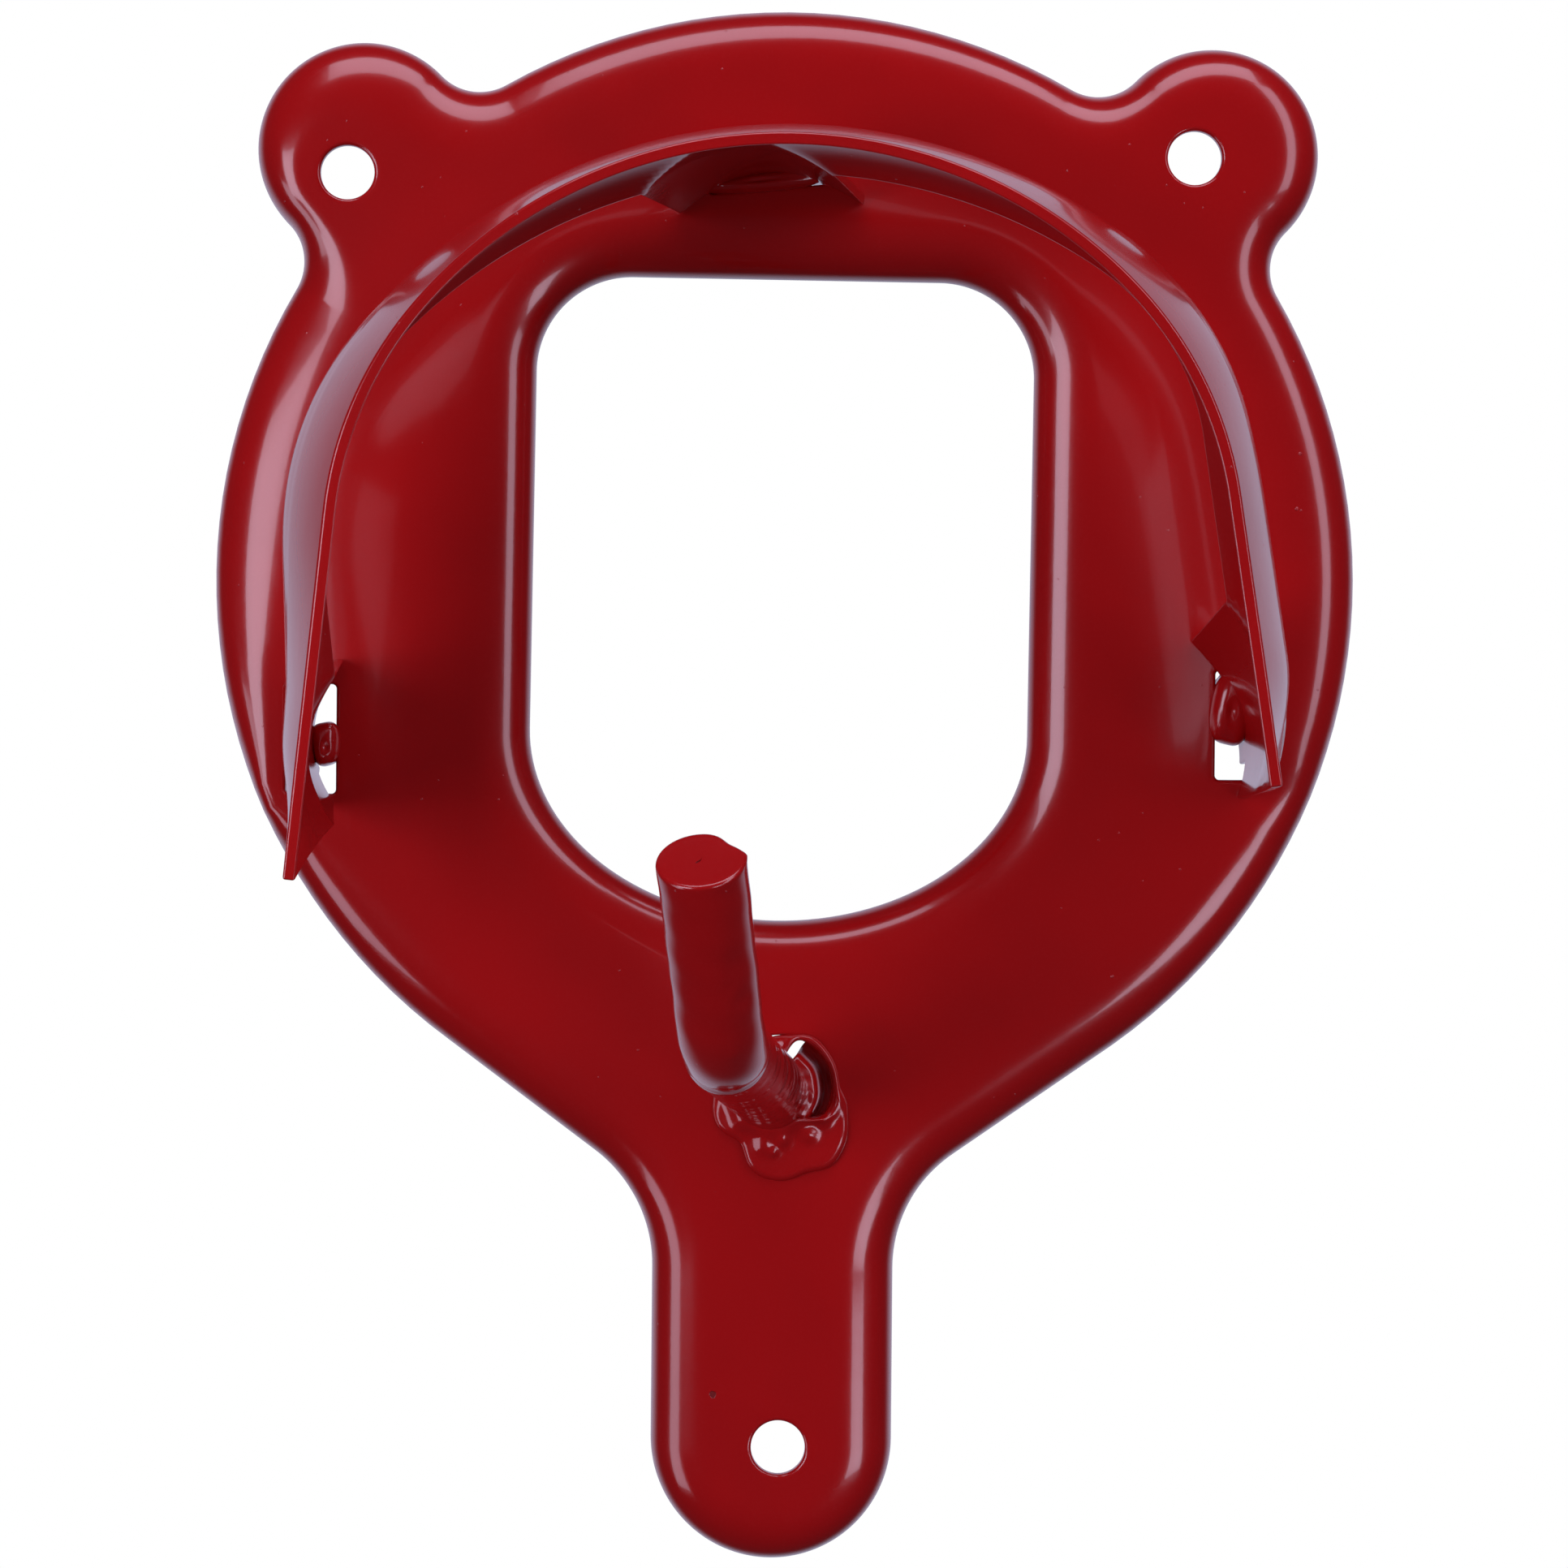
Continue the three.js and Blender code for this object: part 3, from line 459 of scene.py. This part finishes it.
def sheet_at(share, out):
    """Middle surface of the sheet and its normal, seen from the front, at a share of the
    strap's length and a distance from the wall. The strap bulges between its edges, most at
    PEAK; each lug bulges as a parabola across itself, and where it bulges further it takes
    over. Behind the strap the lugs turn, lean inwards and shift to their feet; the lower
    corners at both ends are pressed off."""
    behind = np.maximum(0, (STANDOFF - out) / (STANDOFF - FACE))[..., None]
    (rear, rear_n), (front, front_n) = edge_at(REAR_EDGE, share), edge_at(FRONT_EDGE, share)
    v = np.maximum(0, (out - STANDOFF) / STRAP)[..., None]
    normal = rear_n + (front_n - rear_n) * v
    normal /= np.linalg.norm(normal, axis=-1, keepdims=True)
    from_end = np.minimum(share, 1 - share) * REAR_LENGTH
    peak = (LEFT_CROWN + (CROWN - LEFT_CROWN) * eased(share, 0, LUGS[1][0])
            + (RIGHT_CROWN - CROWN) * eased(share, LUGS[1][1], LUGS[2][0]))
    rising, falling = np.clip(v / PEAK, 0, 1), np.clip((v - PEAK) / (1 - PEAK), 0, 1)
    section = np.where(v < PEAK, rising * (2 - rising), 1 - falling**FALL_POWER)
    crown = (peak * eased(from_end, -CROWN_FADE / 4, CROWN_FADE))[..., None] * section
    lug = sum(LUG_BULGE * np.clip(1 - ((2 * share - a - b) / (b - a)) ** 2, 0, 1) for a, b in LUGS)
    lug = lug[..., None] * eased(0.5 - v, 0, 0.15)
    bulge = np.where(v < 0.5, softer(crown, lug, BLEND) - BLEND / 2, crown)
    point = rear + (front - rear) * v + normal * (bulge - LEAN * behind)
    c, q = np.cos(TWIST * behind), np.sin(TWIST * behind)
    point, normal = [np.concatenate([p[..., :1] * c + p[..., 1:] * q,
                                     p[..., 1:] * c - p[..., :1] * q], axis=-1) for p in (point, normal)]
    at_left = np.clip(1 - share / LUGS[0][1], 0, 1)[..., None] * (1 - v)
    at_right = np.clip((share - LUGS[2][0]) / (1 - LUGS[2][0]), 0, 1)[..., None] * behind
    foot = FEET[np.digitize(share, [0.25, 0.75])]
    return point + foot * behind + LEFT_CORNER * at_left + RIGHT_CORNER * at_right, normal


tongues = [((a + b - TONGUE / REAR_LENGTH) / 2, (a + b + TONGUE / REAR_LENGTH) / 2) for a, b in LUGS]
stops = sorted({s for pair in LUGS + tongues for s in pair})
columns = np.concatenate([
    np.linspace(a, b, max(3, round((b - a) * REAR_LENGTH)), endpoint=False)
    for a, b in zip(stops, stops[1:])] + [[1.0]])
levels = [TONGUE_END, LUG_FOOT, STANDOFF, STANDOFF + STRAP]
outs = np.concatenate([np.linspace(a, b, n, endpoint=False) for a, b, n in
                       zip(levels, levels[1:], (5, 18, 30))] + [[levels[-1]]])
share_grid, out_grid = np.meshgrid(columns, outs, indexing="ij")
middle, normal = sheet_at(share_grid, out_grid)
sides = [middle + normal * (SHEET * side) for side in (-0.5, 0.5)]
vertices = np.stack([np.stack([p[..., 0], -out_grid, p[..., 1]], axis=-1) for p in sides], axis=2)
cell_share = ((columns[:-1] + columns[1:]) / 2)[:, None]
cell_out = ((outs[:-1] + outs[1:]) / 2)[None]


def within(pairs):
    """Which columns of cells lie within one of the pairs of shares."""
    return sum(((cell_share > a) & (cell_share < b)).astype(int) for a, b in pairs) > 0


in_lug = within(LUGS) & (cell_out > LUG_FOOT)
in_tongue = within(tongues) & (cell_out < STANDOFF)
filled = (cell_out > STANDOFF) | in_lug | in_tongue
index = np.arange(vertices[..., 0].size).reshape(vertices.shape[:3])
corner = [index[:-1, :-1], index[1:, :-1], index[1:, 1:], index[:-1, 1:]]
quads = [np.stack([c[..., 1] for c in corner], axis=-1)[filled],
         np.stack([c[..., 0] for c in corner[::-1]], axis=-1)[filled]]
padded = np.pad(filled, 1)
beyond = [padded[1:-1, :-2], padded[2:, 1:-1], padded[1:-1, 2:], padded[:-2, 1:-1]]
for k, neighbour in enumerate(beyond):
    p, q = corner[k], corner[(k + 1) % 4]
    wall = np.stack([p[..., 0], q[..., 0], q[..., 1], p[..., 1]], axis=-1)
    quads.append(wall[filled & ~neighbour])
quads = np.vstack(quads)
used, quads = np.unique(quads, return_inverse=True)
arch = body("strap_arch", [(vertices.reshape(-1, 3)[used], quads.reshape(-1, 4).tolist())])
bevel = arch.modifiers.new("cut_edges", "BEVEL")
bevel.limit_method, bevel.angle_limit = "ANGLE", math.radians(50)
bevel.width, bevel.segments, bevel.harden_normals = 0.0003, 3, True
arch.data.materials.append(powder_coat("arch_powder_coat", peel=1.1))
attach(arch, "root")
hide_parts("bridle_arch")

# ---- rein hook ---------------------------------------------------------------------------
# A 10 mm round steel rod, cropped square and bent cold: it stands out from the plate, rising
# a little, and its end turns steeply up. The cropped end keeps a slight burr on one side.
ROD = 5.0               # radius
BEND = 13.0
ROOT = np.array([-1.4, -FACE, -66.4])
CORNER = np.array([-8.0, -66.5, -54.7])
TIP = np.array([-10.6, -81.6, -32.7])
BACK = 3.2              # wall to its rear end

first = (CORNER - ROOT) / np.linalg.norm(CORNER - ROOT)
second = (TIP - CORNER) / np.linalg.norm(TIP - CORNER)
bend_turn = math.acos(first @ second)
setback = BEND * math.tan(bend_turn / 2)
start = ROOT - first * ((FACE - BACK) / -first[1])
bend_start = CORNER - first * setback
binormal = np.cross(first, second) / math.sin(bend_turn)
toward = np.cross(binormal, first)
shaft_length = np.linalg.norm(bend_start - start)
bend_length = BEND * bend_turn
end_length = np.linalg.norm(TIP - CORNER) - setback
rod_length = shaft_length + bend_length + end_length


def rod_skin(s, around, radius):
    """Points on the rod: its centre line is a straight, an arc and a straight, and `around`
    goes about it from the inner side of the bend; radius may change from point to point."""
    angle = np.clip((s - shaft_length) / BEND, 0, bend_turn)
    line = (bend_start + np.minimum(s - shaft_length, 0)[..., None] * first
            + BEND * (np.sin(angle)[..., None] * first + (1 - np.cos(angle))[..., None] * toward)
            + np.maximum(s - shaft_length - bend_length, 0)[..., None] * second)
    inner = np.cos(angle)[..., None] * toward - np.sin(angle)[..., None] * first
    across = np.cos(around)[..., None] * inner + np.sin(around)[..., None] * binormal
    return line + radius[..., None] * across


EASE = 0.45             # rounding of the cropped end
ALONG, AROUND = 220, 72
quarter = np.linspace(0, math.pi / 2, 6)
along = np.concatenate([
    EASE * (1 - np.cos(quarter)), np.linspace(EASE, rod_length - EASE, ALONG)[1:-1],
    rod_length - EASE * (1 - np.sin(quarter)), np.full(6, rod_length)])
reach = np.concatenate([
    ROD - EASE * (1 - np.sin(quarter)), np.full(ALONG - 2, ROD), ROD - EASE * (1 - np.cos(quarter)),
    np.linspace(ROD - EASE, 0.02, 7)[1:]])
around = np.linspace(0, 2 * math.pi, AROUND, endpoint=False)
s_grid, a_grid = np.meshgrid(along, around, indexing="ij")
r_grid = np.repeat(reach[:, None], len(around), axis=1)


def dent(at, bearing, length, width, depth):
    """A shallow dent in the rod, or a bump when the depth is negative: a bell along the rod,
    and round it, where bearing and width are in radians."""
    off = (a_grid - bearing + math.pi) % (2 * math.pi) - math.pi
    return depth * np.exp(-((s_grid - at) / length) ** 2 - (off / width) ** 2)


bend_middle = shaft_length + bend_length / 2
for mark in [(bend_middle - 3.5, math.pi, 0.35, 0.9, 0.22), (bend_middle - 4.4, math.pi, 0.5, 1.2, -0.12),
             (rod_length - 12, 3.75, 2.2, 0.22, 0.13), (rod_length - 17, 3.85, 1.3, 0.2, 0.14),
             (rod_length - 14.5, 3.6, 1.0, 0.15, 0.07), (bend_middle + 3, 3.5, 0.8, 0.15, -0.08),
             (rod_length, 5.5, 1.2, 0.4, 0.75), (rod_length, 4.9, 0.8, 0.12, -0.25)]:
    r_grid = r_grid - dent(*mark)
r_grid += 0.035 * np.sin(s_grid * 0.55 + 2 * np.sin(a_grid))
r_grid += 0.02 * np.sin(s_grid * 1.3 + a_grid * 2)
rod_points, rod_quads = tube(rod_skin(s_grid, a_grid, r_grid))
rod_caps = [list(range(AROUND)), list(range(len(rod_points) - AROUND, len(rod_points)))]
hook = body("rod_hook", [(rod_points, rod_quads + rod_caps)])
hook.data.materials.append(powder_coat("hook_powder_coat", peel=0.8, drift=1.6))
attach(hook, "root")
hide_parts("rein_hook")

# ---- hook puddle -------------------------------------------------------------------------
# The weld that holds the hook: a flat puddle of filler round the foot of the rod, run over the
# hole except at its upper right, where a crescent of the hole stays open. Coated with the rest.
PUDDLE = 1.05           # how thick it stands on the plate
SUNK = 1.2              # how far below the plate's face its inner edge starts
OPEN_MIDDLE = 20        # bearing of the crescent's middle, in degrees about the hole
OPEN_HALF = 58          # half of its angle
PLUG_FROM, PLUG_TO = -60, 58
PLUG_HALF = 0.9         # half the thickness of the weld metal behind the crescent
centre = np.array([0.1, -68.4])
bearing = np.linspace(0, 2 * math.pi, 240, endpoint=False)


def lobe(at, width, amount):
    """A bell of that amount about a bearing in degrees."""
    off = (np.degrees(bearing) - at + 180) % 360 - 180
    return amount * np.exp(-(off / width) ** 2)


outer = 8.7 + sum(lobe(*shape) for shape in [(70, 26, 1.3), (15, 18, -0.6), (-42, 26, 1.15),
                                             (-95, 24, 0.8), (-141, 15, -1.7), (178, 30, 0.3)])
outer += 0.12 * np.sin(7 * bearing + 1) + 0.08 * np.sin(12 * bearing)
away = np.stack([np.cos(bearing), np.sin(bearing)], axis=1)
rod_centre = ROOT[[0, 2]]


def to_circle(middle, radius):
    """Distance from the puddle's centre, along each bearing, to a circle round it."""
    shift = centre - middle
    dot = away @ shift
    return -dot + np.sqrt(dot**2 - shift @ shift + radius**2)


to_hole = to_circle(HOOK_HOLE, HOOK_HOLE_RADIUS)
to_rod = to_circle(rod_centre, ROD - 0.5)
hole_bearing = np.degrees(np.arctan2(*((centre + away * to_hole[:, None]) - HOOK_HOLE).T[::-1]))
from_middle = np.abs((hole_bearing - OPEN_MIDDLE + 180) % 360 - 180)
open_side = 1 / (1 + np.exp(-(OPEN_HALF - from_middle) / 4))
inner = to_rod + (to_hole + 0.15 - to_rod) * open_side
steps = np.concatenate([np.zeros(3), np.linspace(0, 1, 46), np.ones(3)])[:, None]
radius = inner + (outer - inner) * steps
lip = np.clip(outer - radius, 0, 1)
mouth = np.clip((radius - inner) / 0.9, 0, 1)
top = PUDDLE * np.sqrt(1 - (1 - lip) ** 2)
rod_side = (1 - open_side) * 1.5 * np.exp(-((radius - inner) / 1.6) ** 2)
lip_side = open_side * (0.35 * np.exp(-((radius - inner - 0.9) / 0.8) ** 2)
                        - 0.9 * (1 - np.sqrt(1 - (1 - mouth) ** 2)))
px, pz = centre[0] + radius * away[:, 0], centre[1] + radius * away[:, 1]


def bump_at(x, z, size, amount):
    """A round bump of that size on the puddle."""
    return amount * np.exp(-((px - x) ** 2 + (pz - z) ** 2) / size**2)


bumps = sum(bump_at(*shape) for shape in [
    (-2.2, -73.2, 1.3, 0.8), (0.3, -72.6, 0.9, 0.6), (3.6, -71.8, 1.2, 0.6),
    (5.6, -70.0, 0.9, 0.45), (-0.9, -74.1, 0.7, 0.5), (-5.6, -70.4, 1.2, 0.4)])
ripple = 0.05 * np.sin(px * 0.9 + 1) * np.sin(pz * 1.1)
height = FACE + np.maximum(top + rod_side + lip_side + (bumps + ripple) * lip, 0.02)
height[:3] = FACE - SUNK + np.array([0, 0.35, 0.7])[:, None] * (height[3] - FACE + SUNK)
height[-3:] = np.array([0.02, 0.0, -0.05])[:, None] + FACE
puddle_rings = np.stack([px, -height, pz], axis=-1)
under = puddle_rings[-1:].copy()
under[..., 1] = -(FACE - 0.1)
close = puddle_rings[:1].copy()
close[..., 1] = -(FACE - SUNK)
# Weld metal that ran through behind closes most of the gap between rod and hole, a sheet's
# depth down; only its upper end stays open.
plug_degrees = np.linspace(PLUG_FROM, PLUG_TO, 60)
plug_turn = np.radians(plug_degrees)
across = np.linspace(0, 1, 12)[:, None]
plug_away = np.stack([np.cos(plug_turn), np.sin(plug_turn)], axis=1)
plug_inner = rod_centre + plug_away * (ROD - 0.6)
plug_outer = HOOK_HOLE + plug_away * (HOOK_HOLE_RADIUS + 0.4)
plug_flat = plug_inner[None] + (plug_outer - plug_inner)[None] * across[..., None]
fall = np.clip((across - 0.35) / 0.4, 0, 1)
plug_level = (FACE + 0.9 - 0.9 * across - 3.0 * fall * fall * (3 - 2 * fall)
              + 0.1 * np.sin(9 * plug_turn + 6 * across))
ends = np.clip(np.minimum(plug_degrees - PLUG_FROM, PLUG_TO - plug_degrees) / 6, 0, 1)
plug_half = PLUG_HALF * np.sqrt(1 - (1 - ends) ** 2) + 0.02
plug_front = np.stack([plug_flat[..., 0], -(plug_level + plug_half * 0.3), plug_flat[..., 1]], axis=-1)
plug_back = np.stack([plug_flat[..., 0], -(plug_level - plug_half), plug_flat[..., 1]], axis=-1)
plug_loop = np.concatenate([plug_front, plug_back[::-1]]).transpose(1, 0, 2)
plug_points, plug_quads = tube(plug_loop)
rim_count = plug_loop.shape[1]
plug_caps = [list(range(rim_count)), list(range(len(plug_points) - rim_count, len(plug_points)))]
puddle = body("hook_puddle", [tube(np.concatenate([close, puddle_rings[1:], under, close])),
                              (plug_points, plug_quads + plug_caps)])
puddle.data.materials.append(powder_coat("weld_powder_coat", peel=2.0, drift=2.5))
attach(puddle, "root")
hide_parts("hook_weld")

# ---- foot beads --------------------------------------------------------------------------
# Three short weld beads, one in each slot, that join a tongue of the arch to the edge of its
# slot. Each is a lumpy drop with a crater where the arc was broken off.
BEADS = {   # middle; half sizes along, out of the plate and across; turn in degrees; seed
    "left": ((-59.4, -21.9), (2.9, 3.0, 2.0), 94, 1),
    "top": ((-3.0, 51.5), (8.2, 3.0, 1.25), 6, 2),
    "right": ((57.9, -15.9), (5.0, 3.2, 2.6), 86, 3)}
SQUARER = 0.8           # power that makes a ball a little square
END_DIP = 1e-3          # how much shorter it is at its front and rear
BEAD_LEVEL = FACE - 0.4
pole = np.linspace(0, math.pi, 40)
round_ = np.linspace(0, 2 * math.pi, 64, endpoint=False)
p_grid, q_grid = np.meshgrid(pole, round_, indexing="ij")
unit = np.stack([np.sin(p_grid) * np.cos(q_grid), -np.cos(p_grid), np.sin(p_grid) * np.sin(q_grid)], axis=-1)
unit = np.sign(unit) * np.abs(unit) ** SQUARER * (1 - END_DIP * (unit[..., 1:2] ** 2))
for side, ((x, z), (half_long, half_deep, half_wide), turned, seed) in BEADS.items():
    lumpy = (1 + 0.05 * np.sin(2.1 * unit[..., 0] + 3 * unit[..., 1] + seed)
             + 0.04 * np.sin(3.3 * unit[..., 2] + 2 * unit[..., 0] + 2 * seed)
             - 0.12 * np.exp(-((unit - [-0.1, -0.95, 0.1 * seed - 0.2]) ** 2).sum(axis=-1) / 0.05))
    local = unit * lumpy[..., None] * [half_long, half_deep, half_wide]
    c, q = math.cos(math.radians(turned)), math.sin(math.radians(turned))
    placed = np.stack([x + local[..., 0] * c - local[..., 2] * q, local[..., 1] - BEAD_LEVEL,
                       z + local[..., 0] * q + local[..., 2] * c], axis=-1)
    bead = body(f"foot_bead_{side}", [tube(placed)])
    bead.data.materials.append(puddle.data.materials[0])
    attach(bead, "root")
    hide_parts(f"arch_weld_{side}")

# ---- studio ------------------------------------------------------------------------------
# A pale floor well below the bracket that only the camera sees, a world that looks white to the
# camera and is brighter behind the bracket than in front of it, and five soft cool panels: one
# near the left, one far to the left and low, a tall one at the right, a small one low at the
# right and one overhead.
FLOOR_LEVEL = -450.0
FLOOR_REACH = 1300.0
COOL = (0.88, 0.81, 1.0)
reach = np.linspace(0, FLOOR_REACH, 14)[:, None]
turn = np.linspace(0, 2 * math.pi, 96, endpoint=False)[None]
floor_rings = np.stack([reach * np.cos(turn), reach * np.sin(turn), np.full((14, 96), FLOOR_LEVEL)], axis=-1)
floor = body("studio_floor", [tube(floor_rings)])
floor.data.materials.append(bpy.data.materials.new("studio_floor"))
floor_finish = Finish(floor.data.materials[0])
floor_place = floor_finish.node("ShaderNodeTexCoord").outputs["Object"]
floor_tone = floor_finish.node("ShaderNodeMix", {"data_type": "RGBA"}, {
    "Factor": floor_finish.noise(floor_place, 0.05, 3.0),
    "A": (0.8, 0.8, 0.8, 1), "B": (0.82, 0.82, 0.82, 1)})
floor_coat = floor_finish.node("ShaderNodeBsdfPrincipled", {}, {
    "Base Color": (0.3, 0.3, 0.3, 1), "Roughness": 0.8, "Specular IOR Level": 0.1,
    "Emission Color": floor_tone.outputs["Result"], "Emission Strength": 0.75})
floor_finish.node("ShaderNodeOutputMaterial", {}, {"Surface": floor_coat.outputs["BSDF"]})
floor.visible_glossy = floor.visible_diffuse = False

world = bpy.data.worlds.new("studio")
bpy.context.scene.world = world
sky = Finish(world)
direction = sky.node("ShaderNodeTexCoord").outputs["Generated"]
parts = sky.node("ShaderNodeSeparateXYZ", {}, {"Vector": direction})
from_behind = sky.ramp(parts.outputs["Y"], 0.4, 0.8, 0.035, 0.7)
seen = sky.node("ShaderNodeLightPath").outputs["Is Camera Ray"]
level = sky.node("ShaderNodeMix", {"data_type": "FLOAT"}, {0: seen, 2: from_behind, 3: 1.0})
tone = sky.node("ShaderNodeMix", {"data_type": "RGBA"}, {
    "Factor": seen, "A": (0.76, 0.76, 1, 1), "B": (1, 1, 1, 1)})
background = sky.node("ShaderNodeBackground", {}, {
    "Color": tone.outputs["Result"], "Strength": level.outputs[0]})
sky.node("ShaderNodeOutputWorld", {}, {"Surface": background.outputs["Background"]})


def panel(name, bearing, height, distance, width, tall, watts):
    """A soft cool rectangular light aimed at the bracket. Bearing is in degrees to the right of the
    way the bracket faces, height is in degrees above the level, and sizes are in metres."""
    light = bpy.data.lights.new(name, "AREA")
    light.shape, light.size, light.size_y = "RECTANGLE", width, tall
    light.energy, light.color = watts, COOL
    lamp = bpy.data.objects.new(name, light)
    a, e = math.radians(bearing), math.radians(height)
    level_distance = distance * math.cos(e)
    lamp.location = (level_distance * math.sin(a), -level_distance * math.cos(a), distance * math.sin(e))
    lamp.rotation_euler = (math.radians(90) - e, 0, a)
    lamp.visible_camera = False
    bpy.context.scene.collection.objects.link(lamp)


panel("left_panel", -38, 2, 0.95, 0.46, 0.44, 3.2)
panel("right_panel", 36, -22, 0.95, 0.34, 0.22, 1.1)
panel("left_low", -60, -22, 1.1, 0.42, 0.7, 2.8)
panel("right_wall", 50, 18, 1.15, 0.34, 1.2, 4.2)
panel("overhead", 8, 66, 1.0, 1.0, 0.5, 5.5)

# ---- camera ------------------------------------------------------------------------------
# Square on to the wall and close, a little left of the bracket's middle and turned by half a
# degree, with the view shifted to take in the whole bracket.
view = bpy.data.cameras.new("front_view")
view.lens, view.sensor_width = 83.6, 36
view.shift_x, view.shift_y = 0.0512, -0.0694
view.clip_start, view.clip_end = 0.01, 20
camera = bpy.data.objects.new("front_view", view)
camera.location = (-0.01048, -0.480, -0.0125)
camera.rotation_euler = (math.radians(90), math.radians(-0.5), 0)
bpy.context.scene.collection.objects.link(camera)
bpy.context.scene.camera = camera
bpy.context.scene.view_settings.view_transform = "Standard"
